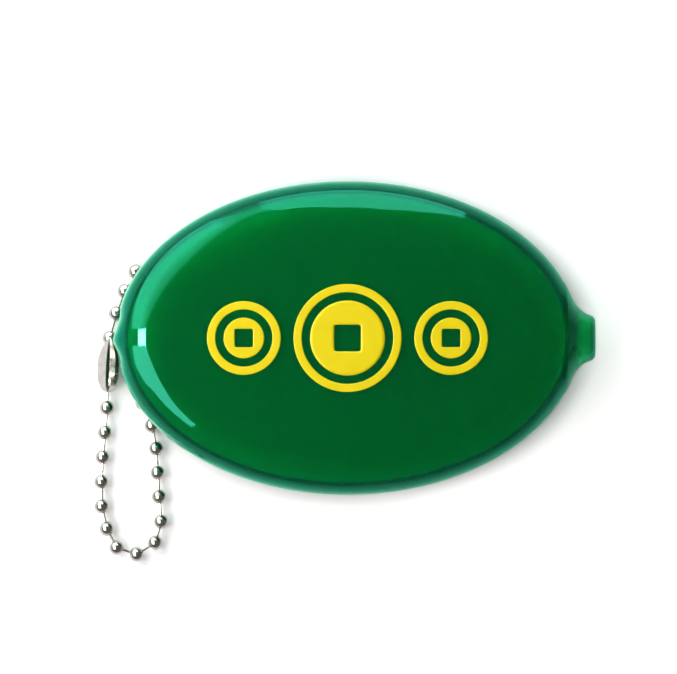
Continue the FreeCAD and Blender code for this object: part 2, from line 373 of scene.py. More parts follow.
def rim_painted_light(tree, place, along):
    """Painted light and shade by the distance from the outline, with tones of their own at the left tip."""
    spread = scaled_length(tree, place, (1 / HALF_LENGTH, 1 / HALF_WIDTH, 0))
    slope = scaled_length(tree, place, (1 / HALF_LENGTH ** 2, 1 / HALF_WIDTH ** 2, 0))
    short = add_node(tree, "ShaderNodeMath", {0: 1.0, 1: spread}, operation="SUBTRACT")
    reach = add_node(tree, "ShaderNodeMath", {0: spread, 1: slope}, operation="DIVIDE")
    inward = add_node(tree, "ShaderNodeMath", {0: short, 1: reach}, operation="MULTIPLY")
    share = add_node(tree, "ShaderNodeMath", {0: inward, 1: PAINTED_RIM_DEPTH}, operation="DIVIDE")
    painted_tip, lit, rest = [
        add_node(
            tree, "ShaderNodeValToRGB", {"Fac": share},
            [(depth * MM / PAINTED_RIM_DEPTH, colour) for depth, colour in tones],
        )
        for tones in (PAINTED_TIP_TONES, PAINTED_RING_TONES, PAINTED_RIM_TONES)
    ]
    # The ring is painted brighter on the upper left side.
    facing = add_node(tree, "ShaderNodeVectorMath", {0: place, 1: PAINTED_RING_SIDE}, operation="DOT_PRODUCT")
    on_painted_ring_side = add_node(
        tree, "ShaderNodeMapRange",
        {"Value": facing.outputs["Value"], "From Min": PAINTED_RING_SHARE[0], "From Max": PAINTED_RING_SHARE[1]},
        interpolation_type="SMOOTHSTEP",
    )
    ring = add_node(
        tree, "ShaderNodeMix", {0: on_painted_ring_side, COLOUR_A: rest, COLOUR_B: lit}, data_type="RGBA"
    ).outputs[COLOUR_OUT]
    # Towards the left tip the painted lip and line turn paler.
    past_left = add_node(
        tree, "ShaderNodeMapRange", {"Value": along, "From Min": PAINTED_TIP_SPAN[0], "From Max": PAINTED_TIP_SPAN[1]},
        interpolation_type="SMOOTHSTEP",
    )
    return add_node(
        tree, "ShaderNodeMix", {0: past_left, COLOUR_A: painted_tip, COLOUR_B: ring}, data_type="RGBA"
    ).outputs[COLOUR_OUT]


print("tones of the rim:", len(PAINTED_RIM_TONES))

# %% [markdown]
# The nub is solid vinyl. Its colour is painted light and shade: painted shade at its neck, a painted glow
# where the light collects behind its tip, and the painted teal reflection of the rim on its two sides.

# %% Painted light and shade of the nub
# Painted shade at the neck, then a painted glow towards the tip.
NUB_PAINTED_TONES = (
    (0.0, "#0A8C44"), (0.2, "#056C34"), (0.32, "#057038"), (0.45, "#08D860"), (0.62, "#16F46E"),
    (0.78, "#1AF274"), (0.88, "#0CC068"), (1.0, "#0A7058"),
)
NUB_ROOT = 34.4 * MM
NUB_PAINTED_SIDE_TONE = "#2FB09E"
NUB_SIDE = (0.7, 0.98)


def nub_painted_light(tree, along, across):
    """Painted light and shade along the nub, with the painted teal reflection of the rim on its two sides."""
    to_tip = add_node(
        tree, "ShaderNodeMapRange", {"Value": along, "From Min": NUB_ROOT, "From Max": NUB_TIP}
    )
    core = add_node(tree, "ShaderNodeValToRGB", {"Fac": to_tip}, NUB_PAINTED_TONES)
    back = add_node(
        tree, "ShaderNodeMapRange", {"Value": along, "From Min": NUB_TIP, "From Max": NUB_TIP - NUB_LENGTH},
        clamp=False,
    )
    flare = add_node(tree, "ShaderNodeMath", {0: back, 1: NUB_FLARE}, operation="POWER")
    half_width = add_node(
        tree, "ShaderNodeMath", {0: flare, 1: NUB_SPREAD, 2: NUB_TIP_HALF[0]}, operation="MULTIPLY_ADD"
    )
    reach = add_node(tree, "ShaderNodeMath", {0: across}, operation="ABSOLUTE")
    side = add_node(tree, "ShaderNodeMath", {0: reach, 1: half_width}, operation="DIVIDE")
    edge = add_node(
        tree, "ShaderNodeMapRange", {"Value": side, "From Min": NUB_SIDE[0], "From Max": NUB_SIDE[1]},
        interpolation_type="SMOOTHSTEP",
    )
    # The two sides take a painted teal reflection.
    return add_node(
        tree, "ShaderNodeMix", {0: edge, COLOUR_A: core, COLOUR_B: linear(NUB_PAINTED_SIDE_TONE)}, data_type="RGBA"
    ).outputs[COLOUR_OUT]


print("tones of the nub:", len(NUB_PAINTED_TONES))

# %% [markdown]
# The vinyl is pigmented through, so even the mirror images on it look green. A coat with almost no gloss of
# its own carries that tint, and the gloss below it stays as sharp as the polished tool left it.

# %% Vinyl for the outside and the inside skin
VINYL_IOR = 1.53
VINYL_GLOSS_TINT = "#80FFFF"
VINYL_COAT_TINT = "#8AFFE2"
VINYL_COAT_IOR = 1.1
CLOUDED = (35.7 * MM, 36.9 * MM)
CLEARNESS = (0.9, 0.4)
NUB_ROOT_BLEND = 0.7 * MM
WAVE_SIZE = 14 * MM


def vinyl(name, roughness, wave_height, coat):
    # Soft PVC lets light in and out again, so that it glows from within under a wet-looking skin.
    material, tree, shader, place = new_material(name)
    spot = add_node(tree, "ShaderNodeSeparateXYZ", {"Vector": place}).outputs
    # The nub is solid, and so much vinyl scatters the light that a thin wall lets through.
    clearness = add_node(
        tree, "ShaderNodeMapRange",
        {
            "Value": spot["X"], "From Min": CLOUDED[0], "From Max": CLOUDED[1],
            "To Min": CLEARNESS[0], "To Max": CLEARNESS[1],
        },
        interpolation_type="SMOOTHSTEP",
    )
    past_root = add_node(
        tree, "ShaderNodeMapRange",
        {"Value": spot["X"], "From Min": NUB_ROOT - NUB_ROOT_BLEND, "From Max": NUB_ROOT + NUB_ROOT_BLEND},
        interpolation_type="SMOOTHSTEP",
    )
    # The base colour carries the painted light and shade of the rim and the nub.
    base = add_node(
        tree, "ShaderNodeMix",
        {
            0: past_root, COLOUR_A: rim_painted_light(tree, place, spot["X"]),
            COLOUR_B: nub_painted_light(tree, spot["X"], spot["Y"]),
        },
        data_type="RGBA",
    ).outputs[COLOUR_OUT]
    waves = add_node(tree, "ShaderNodeTexNoise", {"Vector": place, "Scale": 1 / WAVE_SIZE, "Detail": 1.0})
    bump = add_node(
        tree, "ShaderNodeBump", {"Height": waves.outputs["Fac"], "Distance": wave_height, "Strength": 1.0}
    )
    feed(shader, {
        "Base Color": base,
        "Transmission Weight": clearness,
        "Normal": bump,
        "Roughness": roughness,
        "IOR": VINYL_IOR,
        "Specular IOR Level": 1.0,
        "Specular Tint": linear(VINYL_GLOSS_TINT),
        "Coat Weight": coat,
        "Coat IOR": VINYL_COAT_IOR,
        "Coat Tint": linear(VINYL_COAT_TINT),
    })
    return material


vinyl_outside = vinyl("glossy_vinyl", roughness=0.04, wave_height=0.05 * MM, coat=1.0)
vinyl_inside = vinyl("dull_vinyl_inside", roughness=0.5, wave_height=0.2 * MM, coat=0.0)
print("made", vinyl_outside.name, "and", vinyl_inside.name)

# %% [markdown]
# Stations crowd together at the ends, where the outline turns quickly. The outside skin, the inside skin and
# the caps that close their ends go into one mesh, so the wall has a real thickness for the light to cross.

# %% Build both skins
OUTSIDE_STEPS = 256
OUTSIDE_STATIONS = 168
OUTSIDE_LAST_TURN = math.pi - 0.36
NUB_STATIONS = 44
INSIDE_STEPS = 144
INSIDE_STATIONS = 112
INSIDE_LAST_TURN = math.pi - 0.03


def end_stations(count, inset, last_turn):
    """X stations from the left tip, evenly turned like the hours of a clock."""
    turns = np.linspace(0, last_turn, count + 1)[1:]
    return -(HALF_LENGTH - inset) * np.cos(turns)


def add_skin(verts, faces, points, flip, tips):
    """Adds a grid of rings and a fan at each end."""
    rings, steps = points.shape[:2]
    first = len(verts)
    verts.extend(points.reshape(-1, 3).tolist())
    faces.extend(grid_faces(rings, steps, first, flip))
    for tip, ring in zip(tips, (0, rings - 1)):
        centre = len(verts)
        verts.append(tip)
        start = first + ring * steps
        for step in range(steps):
            fan = (centre, start + (step + 1) % steps, start + step)
            faces.append(fan if (ring == 0) != flip else fan[::-1])


def shell_mesh():
    main = end_stations(OUTSIDE_STATIONS, 0.0, OUTSIDE_LAST_TURN)
    nub = np.linspace(main[-1], NUB_TIP, NUB_STATIONS)[1:]
    outside = draw_tip(skin_grid(np.concatenate([main, nub]), OUTSIDE_STEPS, 0.0, True))
    tip = draw_tip(np.array([-HALF_LENGTH, 0, HALF_THICKNESS]))
    inside_stations = end_stations(INSIDE_STATIONS, WALL, INSIDE_LAST_TURN)
    inside = skin_grid(inside_stations, INSIDE_STEPS, WALL, False)
    verts, faces = [], []
    middle = HALF_THICKNESS
    add_skin(verts, faces, outside, False, [tip.tolist(), (NUB_TIP, 0, middle)])
    outside_count = len(faces)
    inner_tip = HALF_LENGTH - WALL
    add_skin(verts, faces, inside, True, [(-inner_tip, 0, middle), (inner_tip, 0, middle)])
    mesh = bpy.data.meshes.new("shell_skins")
    mesh.from_pydata(verts, [], faces)
    mesh.materials.append(vinyl_outside)
    mesh.materials.append(vinyl_inside)
    mesh.polygons.foreach_set("material_index", [0] * outside_count + [1] * (len(faces) - outside_count))
    mesh.polygons.foreach_set("use_smooth", [True] * len(faces))
    mesh.update()
    return mesh


skins = shell_mesh()
print("skins have", len(skins.polygons), "faces")

# %% [markdown]
# ## Chain holes
# Two round holes let the chain in and out of the left end, one on each side of the tip and low on the rim.
# They are drilled along the direction in which the bead that sits in each of them passes through the wall. A
# boolean suits them because they lie where the skin is strongly curved anyway.

# %% Drill the chain holes
HOLE_RADIUS = 1.9 * MM
HOLE_DEPTH = 5 * MM
HOLE_SEGMENTS = 48
# The bead in each hole, and the turn and the downward tilt of the drill in degrees.
HOLES = (("bead_05", 151.0, 42.5), ("bead_10", 199.0, 53.0))


def middle_of(node):
    low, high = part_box(node)
    return (low + high) / 2


def new_object(name, mesh):
    made = bpy.data.objects.new(name, mesh)
    bpy.context.scene.collection.objects.link(made)
    return made


def settle(obj):
    """Turns the modifiers of an object into its own mesh."""
    evaluated = obj.evaluated_get(bpy.context.evaluated_depsgraph_get())
    obj.data = bpy.data.meshes.new_from_object(evaluated)
    obj.modifiers.clear()


def drill(obj, node, turn, tilt):
    around = math.radians(turn)
    lean = math.radians(tilt)
    outward = Vector((math.cos(around) / HALF_LENGTH, math.sin(around) / HALF_WIDTH, 0)).normalized()
    axis = outward * math.cos(lean) - Vector((0, 0, math.sin(lean)))
    turned = axis.to_track_quat("Z", "Y").to_matrix().to_4x4()
    bm = bmesh.new()
    bmesh.ops.create_cone(
        bm, cap_ends=True, segments=HOLE_SEGMENTS, radius1=HOLE_RADIUS, radius2=HOLE_RADIUS,
        depth=HOLE_DEPTH, matrix=Matrix.Translation(middle_of(node)) @ turned,
    )
    mesh = bpy.data.meshes.new("drill_" + node)
    bm.to_mesh(mesh)
    bm.free()
    cutter = new_object("drill_" + node, mesh)
    cut = obj.modifiers.new("hole", "BOOLEAN")
    cut.operation = "DIFFERENCE"
    cut.solver = "EXACT"
    cut.object = cutter
    settle(obj)
    bpy.data.objects.remove(cutter)


shell = new_object("vinyl_shell", skins)
for hole in HOLES:
    drill(shell, *hole)
print("drilled shell has", len(shell.data.polygons), "faces")

# %% [markdown]
# ## The squeeze mouth
# The back panel is slit along its middle. When the ends are pressed together the two sides of the slit part
# widest in the middle and stay joined at its ends. The panel is cut into four quarters, each a mesh of its
# own.

# %% Cut the lines of the back panel
LIP_GAP = 0.15 * MM
PANEL_TOP = 0.7 * HALF_THICKNESS
PANEL_MARGIN = 2 * MM
CUT_SNAP = 0.001 * MM
lip_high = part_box("upper_lip")[1]
HALF_SLIT = lip_high.x + LIP_GAP
HINGE_Y = lip_high.y + LIP_GAP


def in_panel(point, margin):
    return (
        point.z < PANEL_TOP
        and abs(point.x) < HALF_SLIT + margin
        and abs(point.y) < HINGE_Y + margin
    )


def cut_panel(bm):
    lines = [((x, 0, 0), (1, 0, 0)) for x in (-HALF_SLIT, 0, HALF_SLIT)]
    lines += [((0, y, 0), (0, 1, 0)) for y in (-HINGE_Y, 0, HINGE_Y)]
    for point, normal in lines:
        faces = [f for f in bm.faces if in_panel(f.calc_center_median(), PANEL_MARGIN)]
        edges = {e for f in faces for e in f.edges}
        verts = {v for f in faces for v in f.verts}
        bmesh.ops.bisect_plane(
            bm, geom=[*verts, *edges, *faces], plane_co=point, plane_no=normal, dist=CUT_SNAP
        )


whole = bmesh.new()
whole.from_mesh(shell.data)
cut_panel(whole)
print("slit is", round(2 * HALF_SLIT / MM, 1), "mm long, bending lines", round(HINGE_Y / MM, 1), "mm from it")

# %% [markdown]
# Each quarter is copied out of the cut shell. Its edge is drawn back a little from the slit, most in the
# middle, and the wall is closed along it. Two quarters share a lip, and the rest stays with the shell.

# %% Take the quarters out
SLIT_PARTING = 0.15 * MM
ON_SLIT = 0.002 * MM
SEAM_ANGLE = math.radians(38)


def piece_of(face):
    """Quarter of the panel a face belongs to as signs of X and Y, nothing for the rest of the shell."""
    centre = face.calc_center_median()
    if not in_panel(centre, 0):
        return None
    return (1 if centre.x > 0 else -1, 1 if centre.y > 0 else -1)


def keep_faces(whole, wanted):
    bm = whole.copy()
    drop = [f for f in bm.faces if piece_of(f) != wanted]
    bmesh.ops.delete(bm, geom=drop, context="FACES")
    return bm


def part_slit(bm, side):
    """Draws the edge of a quarter back from the slit and closes the wall along it."""
    edge = [v for v in bm.verts if abs(v.co.y) < ON_SLIT]
    loops = [e for e in bm.edges if e.is_boundary and all(abs(v.co.y) < ON_SLIT for v in e.verts)]
    for v in edge:
        v.co.y = side * SLIT_PARTING * max(1 - (v.co.x / HALF_SLIT) ** 2, 0)
    bmesh.ops.bridge_loops(bm, edges=loops)


def finish_vinyl(bm, obj):
    bm.to_mesh(obj.data)
    bm.free()
    obj.data.polygons.foreach_set("use_smooth", [True] * len(obj.data.polygons))
    obj.data.set_sharp_from_angle(angle=SEAM_ANGLE)


quarters = {}
for across in (-1, 1):
    for along in (-1, 1):
        name = ("upper" if across > 0 else "lower") + ("_right" if along > 0 else "_left") + "_lip"
        quarter = keep_faces(whole, (along, across))
        part_slit(quarter, across)
        quarters[name] = new_object(name, bpy.data.meshes.new(name))
        for material in shell.data.materials:
            quarters[name].data.materials.append(material)
        finish_vinyl(quarter, quarters[name])
finish_vinyl(keep_faces(whole, None), shell)
whole.free()
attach(shell, "shell")
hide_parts("front_shell")
print("shell keeps", len(shell.data.polygons), "faces")
print("quarters have", [len(quarter.data.polygons) for quarter in quarters.values()], "faces")

# %% [markdown]
# The blend runs along the slit, from its end to the middle of the purse.

# %% Place the quarters and hide the lips
for name, quarter in quarters.items():
    lip = name.split("_")[0] + "_lip"
    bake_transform(quarter)
    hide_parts(lip)
print("bending quarters:", sorted(quarters))

# %% [markdown]
# ## The print
# The face carries a row of three old coins with square holes, printed in yellow. Each is a ring and a disc.
# A screen print is a thin even layer, so each band is a strip of quads that takes its height from the rule of
# the shell and has a small rounded edge that catches the light.

# %% Print the coins
INK_HEIGHT = 0.1 * MM
INK_EDGE = 0.04 * MM
INK_SHOULDER = (0.3 * INK_EDGE, 0.7 * INK_HEIGHT)
INK_TOP_ROWS = 9
COIN_LINE = 1.3 * MM
COIN_STEPS = 192
HOLE_SQUARENESS = 12
# Where each coin stands along X, its diameter and the width of its square hole.
COINS = ((0.0, 17 * MM, 4.2 * MM), (-16.3 * MM, 11.6 * MM, 2.9 * MM), (16.3 * MM, 11.6 * MM, 2.9 * MM))
turns = np.linspace(0, 2 * math.pi, COIN_STEPS, endpoint=False)
round_line = np.ones(COIN_STEPS)
square_line = np.abs(np.cos(turns)) ** HOLE_SQUARENESS + np.abs(np.sin(turns)) ** HOLE_SQUARENESS
square_line = square_line ** (-1 / HOLE_SQUARENESS)


def printed_band(verts, faces, centre_x, inner, outer):
    """Layer of ink between two closed lines around a centre."""
    shoulder, shoulder_rise = INK_SHOULDER
    rows = [(inner, 0.0), (inner + shoulder, shoulder_rise)]
    first_top = inner + INK_EDGE
    last_top = outer - INK_EDGE
    rows += [(first_top + (last_top - first_top) * s, INK_HEIGHT) for s in np.linspace(0, 1, INK_TOP_ROWS)]
    rows += [(outer - shoulder, shoulder_rise), (outer, 0.0)]
    first = len(verts)
    for radius, rise in rows:
        x = centre_x + radius * np.cos(turns)
        y = radius * np.sin(turns)
        z = HALF_THICKNESS + half_thickness(x, y, 0.0) + rise
        verts.extend(np.stack([x, y, z], axis=-1).tolist())
    for row in range(len(rows) - 1):
        for step in range(COIN_STEPS):
            a = first + row * COIN_STEPS + step
            b = first + row * COIN_STEPS + (step + 1) % COIN_STEPS
            faces.append((a, a + COIN_STEPS, b + COIN_STEPS, b))


verts, faces = [], []
for centre_x, diameter, hole in COINS:
    radius = diameter / 2
    printed_band(verts, faces, centre_x, (radius - COIN_LINE) * round_line, radius * round_line)
    printed_band(verts, faces, centre_x, hole / 2 * square_line, (radius - 2 * COIN_LINE) * round_line)
mesh = bpy.data.meshes.new("coin_print")
mesh.from_pydata(verts, [], faces)
mesh.materials.append(ink)
mesh.polygons.foreach_set("use_smooth", [True] * len(faces))
coin_print = new_object("coin_print", mesh)
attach(coin_print, "shell")
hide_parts("front_print")
print("print has", len(faces), "faces")

# %% [markdown]
# ## The ball chain
# A ball chain is a row of hollow beads, pressed round short wires whose heads hold them. The same two shapes
# repeat along a path, which is work for Geometry Nodes. The first part of the tree makes one bead, a ball
# that is pressed in at its two poles, where the wires leave it.

# %% One bead in Geometry Nodes
BEAD_RADIUS = 1.2 * MM
BEAD_SEGMENTS = 40
BEAD_RINGS = 28
WIRE_RADIUS = 0.23 * MM
DIMPLE_REACH = 2.2
DIMPLE_DEPTH = 0.2


def new_chain_tree():
    tree = bpy.data.node_groups.new("ball_chain", "GeometryNodeTree")
    for name, kind in (
        ("Path", "NodeSocketGeometry"), ("Bead Radius", "NodeSocketFloat"),
        ("Wire Radius", "NodeSocketFloat"), ("Metal", "NodeSocketMaterial"),
    ):
        tree.interface.new_socket(name, in_out="INPUT", socket_type=kind)
    tree.interface.new_socket("Chain", in_out="OUTPUT", socket_type="NodeSocketGeometry")
    return tree


def dimpled_bead(tree, given):
    """Ball whose skin sinks towards its middle around the two wires."""
    ball = add_node(
        tree, "GeometryNodeMeshUVSphere",
        {"Segments": BEAD_SEGMENTS, "Rings": BEAD_RINGS, "Radius": given["Bead Radius"]},
    )
    spot = add_node(tree, "GeometryNodeInputPosition")
    from_axis = scaled_length(tree, spot, (1, 1, 0))
    wide = add_node(
        tree, "ShaderNodeMath", {0: given["Wire Radius"], 1: DIMPLE_REACH}, operation="MULTIPLY"
    )
    dip = add_node(
        tree, "ShaderNodeMapRange",
        {
            "Value": from_axis, "From Min": wide, "From Max": given["Wire Radius"],
            "To Min": 0.0, "To Max": -DIMPLE_DEPTH,
        },
        interpolation_type="SMOOTHSTEP",
    )
    pole = add_node(tree, "ShaderNodeVectorMath", {0: spot, 1: (0, 0, 1)}, operation="MULTIPLY")
    sink = add_node(tree, "ShaderNodeVectorMath", {0: pole, "Scale": dip}, operation="SCALE")
    return add_node(tree, "GeometryNodeSetPosition", {"Geometry": ball, "Offset": sink})


ball_chain = new_chain_tree()
given = add_node(ball_chain, "NodeGroupInput").outputs
bead = dimpled_bead(ball_chain, given)
print("bead takes", len(ball_chain.nodes), "nodes")

# %% [markdown]
# The path goes through the bead places of the frame. A thin profile swept along it gives the wires, and a
# bead stands on every point that is marked for one.

# %% Wires and beads along the path
WIRE_SIDES = 14


def chain_along_path(tree, given, bead):
    """Wires along the path and a bead on each of its marked points."""
    path = add_node(tree, "GeometryNodeMeshToCurve", {"Mesh": given["Path"]})
    profile = add_node(
        tree, "GeometryNodeCurvePrimitiveCircle", {"Resolution": WIRE_SIDES, "Radius": given["Wire Radius"]}
    )
    wires = add_node(
        tree, "GeometryNodeCurveToMesh", {"Curve": path, "Profile Curve": profile, "Fill Caps": True}
    )
    points = add_node(tree, "GeometryNodeCurveToPoints", {"Curve": path}, mode="EVALUATED")
    beaded = add_node(tree, "GeometryNodeInputNamedAttribute", {"Name": "has_bead"}, data_type="BOOLEAN")
    beads = add_node(
        tree, "GeometryNodeInstanceOnPoints",
        {"Points": points, "Selection": beaded, "Instance": bead, "Rotation": points.outputs["Rotation"]},
    )
    joined = add_node(tree, "GeometryNodeJoinGeometry")
    tree.links.new(wires.outputs["Mesh"], joined.inputs["Geometry"])
    tree.links.new(beads.outputs["Instances"], joined.inputs["Geometry"])
    return joined


chain = chain_along_path(ball_chain, given, bead)
real = add_node(ball_chain, "GeometryNodeRealizeInstances", {"Geometry": chain})
smooth = add_node(ball_chain, "GeometryNodeSetShadeSmooth", {"Geometry": real})
metal = add_node(ball_chain, "GeometryNodeSetMaterial", {"Geometry": smooth, "Material": given["Metal"]})
add_node(ball_chain, "NodeGroupOutput", {"Chain": metal})
print("chain tree has", len(ball_chain.nodes), "nodes")

# %% [markdown]
# The chain moves in stretches: one is threaded through the shell, and the free loop is a link and three
# stretches that turn on each other. Every stretch is one mesh on its own body. A stretch that starts on its
# neighbour's bead leaves that point bare.

# %% Make the stretches
# Name and body of each stretch, the beads its path goes through, the bare ones of these, and its links.
STRETCHES = (
    ("threaded_chain", "shell", range(1, 13), (), range(1, 12)),
    ("first_free_link", "loop_link", range(12, 14), (12, 13), range(12, 13)),
    ("right_chain", "chain_right", range(13, 16), (), range(13, 15)),
    ("bottom_chain", "chain_bottom", range(15, 21), (15,), range(15, 20)),
    ("left_chain", "chain_left", range(20, 27), (20,), range(20, 26)),
)


def chain_stretch(name, body, places, bare, links):
    mesh = bpy.data.meshes.new(name)
    spots = [middle_of("bead_%02d" % number) for number in places]
    mesh.from_pydata(spots, [(i, i + 1) for i in range(len(spots) - 1)], [])
    marks = mesh.attributes.new("has_bead", "BOOLEAN", "POINT")
    marks.data.foreach_set("value", [number not in bare for number in places])
    stretch = new_object(name, mesh)
    modifier = stretch.modifiers.new("chain", "NODES")
    modifier.node_group = ball_chain
    values = {"Bead Radius": BEAD_RADIUS, "Wire Radius": WIRE_RADIUS, "Metal": nickel}
    for socket in ball_chain.interface.items_tree:
        if socket.name in values:
            modifier[socket.identifier] = values[socket.name]
    settle(stretch)
    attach(stretch, body)
    beads = ["bead_%02d" % number for number in places if number not in bare]
    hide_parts(*beads, *["link_%02d" % number for number in links])
    return stretch


for values in STRETCHES:
    made = chain_stretch(*values)
    print(made.name, "has", len(made.data.polygons), "faces")

# %% [markdown]
# ## The connector
# The connector is a leaf of plated sheet, folded over the two end beads so that it grips them. It is wide in
# the middle and narrows to a point at each end. Its press leaves flat facets with sharp folds between them.
# A Solidify modifier gives the sheet its thickness.

# %% Section of the connector
LEAF_HALF_WIDTH = 1.79 * MM
LEAF_EDGE_Z = 0.55 * MM
LEAF_TOP_Z = 3.2 * MM
FACET_SLOPE = 1.25
GROOVE = 0.25
# The folds across the sheet, as shares of its half width.
LEFT_FOLD = -0.94
LEFT_RIDGE = -0.2
GROOVE_LINE = 0.12
RIGHT_RIDGE = 0.62
RIGHT_FOLD = 0.93
RIDGE_DRIFT = 0.6
RIDGE_DRIFT_FROM = 0.3
# How each end narrows, as two powers, and how far it drops, with a power.
FIRST_END = (2, 1, 0.6 * MM, 4)
LAST_END = (3.2, 0.6, 1.3 * MM, 6)
TRIM_FROM = 0.5
TRIM_LENGTH = 0.2
TRIM_HEIGHT = 0.1 * MM


def leaf_section(s):
    """Points across the folded sheet, at a share of its half length from the middle."""
    inner_power, outer_power, drop, drop_power = LAST_END if s > 0 else FIRST_END
    width = LEAF_HALF_WIDTH * (1 - abs(s) ** inner_power) ** outer_power
    top = LEAF_TOP_Z - drop * abs(s) ** drop_power
    ridge = RIGHT_RIDGE - RIDGE_DRIFT * max(s - RIDGE_DRIFT_FROM, 0)
    left = top - FACET_SLOPE * (LEFT_RIDGE - LEFT_FOLD) * width
    right = top - FACET_SLOPE * (RIGHT_FOLD - ridge) * width
    trim = min(max((-s - TRIM_FROM) / TRIM_LENGTH, 0), 1)
    left_edge = LEAF_EDGE_Z + (left - TRIM_HEIGHT - LEAF_EDGE_Z) * trim
    right_edge = LEAF_EDGE_Z + (right - TRIM_HEIGHT - LEAF_EDGE_Z) * trim
    return (
        (-width, left_edge), (LEFT_FOLD * width, left), (LEFT_RIDGE * width, top),
        (GROOVE_LINE * width, top - GROOVE * width), (ridge * width, top), (RIGHT_FOLD * width, right),
        (width, right_edge),
    )


print("connector is", round(2 * LEAF_HALF_WIDTH / MM, 2), "mm wide")

# %% [markdown]
# The sections stand in a row from the first bead of the chain to its last one and a little beyond both.

# %% Fold the connector
LEAF_OVER_FIRST_BEAD = 0.25 * MM
LEAF_OVER_LAST_BEAD = 1.5 * MM
LEAF_ENDS = (-0.985, 0.99)
LEAF_STATIONS = 41
SHEET = 0.2 * MM
FACET_ANGLE = math.radians(20)


def connector_mesh():
    upper = middle_of("bead_01")
    lower = middle_of("bead_26")
    along = (lower - upper).normalized()
    across = Vector((0, 0, 1)).cross(along)
    first = upper - along * LEAF_OVER_FIRST_BEAD
    last = lower + along * LEAF_OVER_LAST_BEAD
    stations = np.linspace(*LEAF_ENDS, LEAF_STATIONS)
    verts, faces = [], []
    for s in stations:
        for reach, height in leaf_section(s):
            spot = (first + last) / 2 + (last - first) / 2 * s + across * reach
            spot.z = height
            verts.append(spot)
    count = len(leaf_section(0.0))
    for ring in range(len(stations) - 1):
        for step in range(count - 1):
            a = ring * count + step
            faces.append((a, a + count, a + count + 1, a + 1))
    mesh = bpy.data.meshes.new("chain_connector")
    mesh.from_pydata(verts, [], faces)
    mesh.materials.append(nickel)
    mesh.polygons.foreach_set("use_smooth", [True] * len(faces))
    return mesh


connector = new_object("chain_clasp", connector_mesh())
sheet = connector.modifiers.new("sheet", "SOLIDIFY")
sheet.thickness = SHEET
sheet.offset = -1
settle(connector)
connector.data.set_sharp_from_angle(angle=FACET_ANGLE)
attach(connector, "connector")
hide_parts("chain_connector")
print("connector has", len(connector.data.polygons), "faces")

# %% [markdown]
# ## Stage
# The photograph looks straight down on a white sheet. Large soft panels stand behind the purse and to its
# left, and their mirror images are the bright bands on the rim. A panel is laid out as the purse sees it, by
# its lower and upper edge at some azimuths, and bent around the purse at one distance. The panel behind the
# purse is only mirrored and adds no light, so the shadow falls to the right. The one at the upper left fades
# towards its top, which softens the inner edge of its band.

# %% Soft panels
SCREEN_DISTANCE = 0.6
SCREEN_COLUMNS = 49
SCREEN_ROWS = 13
FADE_FROM = 0.66
# Name and strength of each panel, the share left at its top, its colour, whether it lights the sheet, and
# its stations: azimuth, lower edge and upper edge in degrees.
SCREENS = (
    ("upper_left_screen", 5.2, 0.25, "#F6FFFD", True,
     ((113, 20, 45), (118, 1, 52), (128, 1, 62), (142, 8, 66), (155, 18, 66), (174.5, 31, 62))),
    ("joining_screen", 2.2, 1.0, "#F6FFFD", True, ((103, 30, 44), (107, 4, 40), (117, 3, 44))),
    ("back_screen", 4.6, 1.0, "#F6FFFD", False,
     ((66, 1, 26), (74, 1, 47), (82, 1, 57), (92, 1, 57), (104, 1, 47), (107, 1, 30))),
    ("lower_left_screen", 7.4, 1.0, "#FFF4F4", True,
     ((184.5, 33, 63), (197, 31, 66), (207, 37, 66), (212, 45, 65), (232, 49, 58))),
)


def lit_cloth(name, strength, top_share, colour):
    # The white cloth of a soft box shines evenly, or fades towards its top edge, and mirrors nothing.
    material, tree, shader = new_material(name)[:3]
    height = add_node(tree, "ShaderNodeAttribute", attribute_name="height").outputs["Fac"]
    glow = add_node(
        tree, "ShaderNodeMapRange",
        {"Value": height, "From Min": FADE_FROM, "To Min": strength, "To Max": top_share * strength},
    )
    feed(shader, {
        "Base Color": (0, 0, 0, 1), "Specular IOR Level": 0.0,
        "Emission Color": linear(colour), "Emission Strength": glow,
    })
    return material


def screen(name, strength, top_share, colour, lights_sheet, stations):
    """Curved panel as seen from the purse, with its lower and upper edge given at some azimuths."""
    azimuths, lows, highs = zip(*stations)
    across = np.linspace(azimuths[0], azimuths[-1], SCREEN_COLUMNS)
    low = np.interp(across, azimuths, lows)
    high = np.interp(across, azimuths, highs)
    verts = []
    for share in np.linspace(0, 1, SCREEN_ROWS):
        for turn, lift in zip(np.radians(across), np.radians(low + (high - low) * share)):
            flat = SCREEN_DISTANCE * math.cos(lift)
            verts.append((flat * math.cos(turn), flat * math.sin(turn), SCREEN_DISTANCE * math.sin(lift)))
    count = SCREEN_COLUMNS
    faces = [
        (row * count + i, (row + 1) * count + i, (row + 1) * count + i + 1, row * count + i + 1)
        for row in range(SCREEN_ROWS - 1) for i in range(count - 1)
    ]
    mesh = bpy.data.meshes.new(name)
    mesh.from_pydata(verts, [], faces)
    mesh.attributes.new("height", "FLOAT", "POINT").data.foreach_set(
        "value", np.repeat(np.linspace(0, 1, SCREEN_ROWS), SCREEN_COLUMNS)
    )
    mesh.materials.append(lit_cloth(name, strength, top_share, colour))
    made = new_object(name, mesh)
    made.visible_camera = False
    made.visible_diffuse = lights_sheet
    made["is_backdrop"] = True


for settings in SCREENS:
    screen(*settings)
print("panels:", [name for name, *_ in SCREENS])

# %% [markdown]
# A small bare lamp at the left gives the short bright spot between the two bands of the left end. It is an
# area light, turned so that its lit side faces the purse.

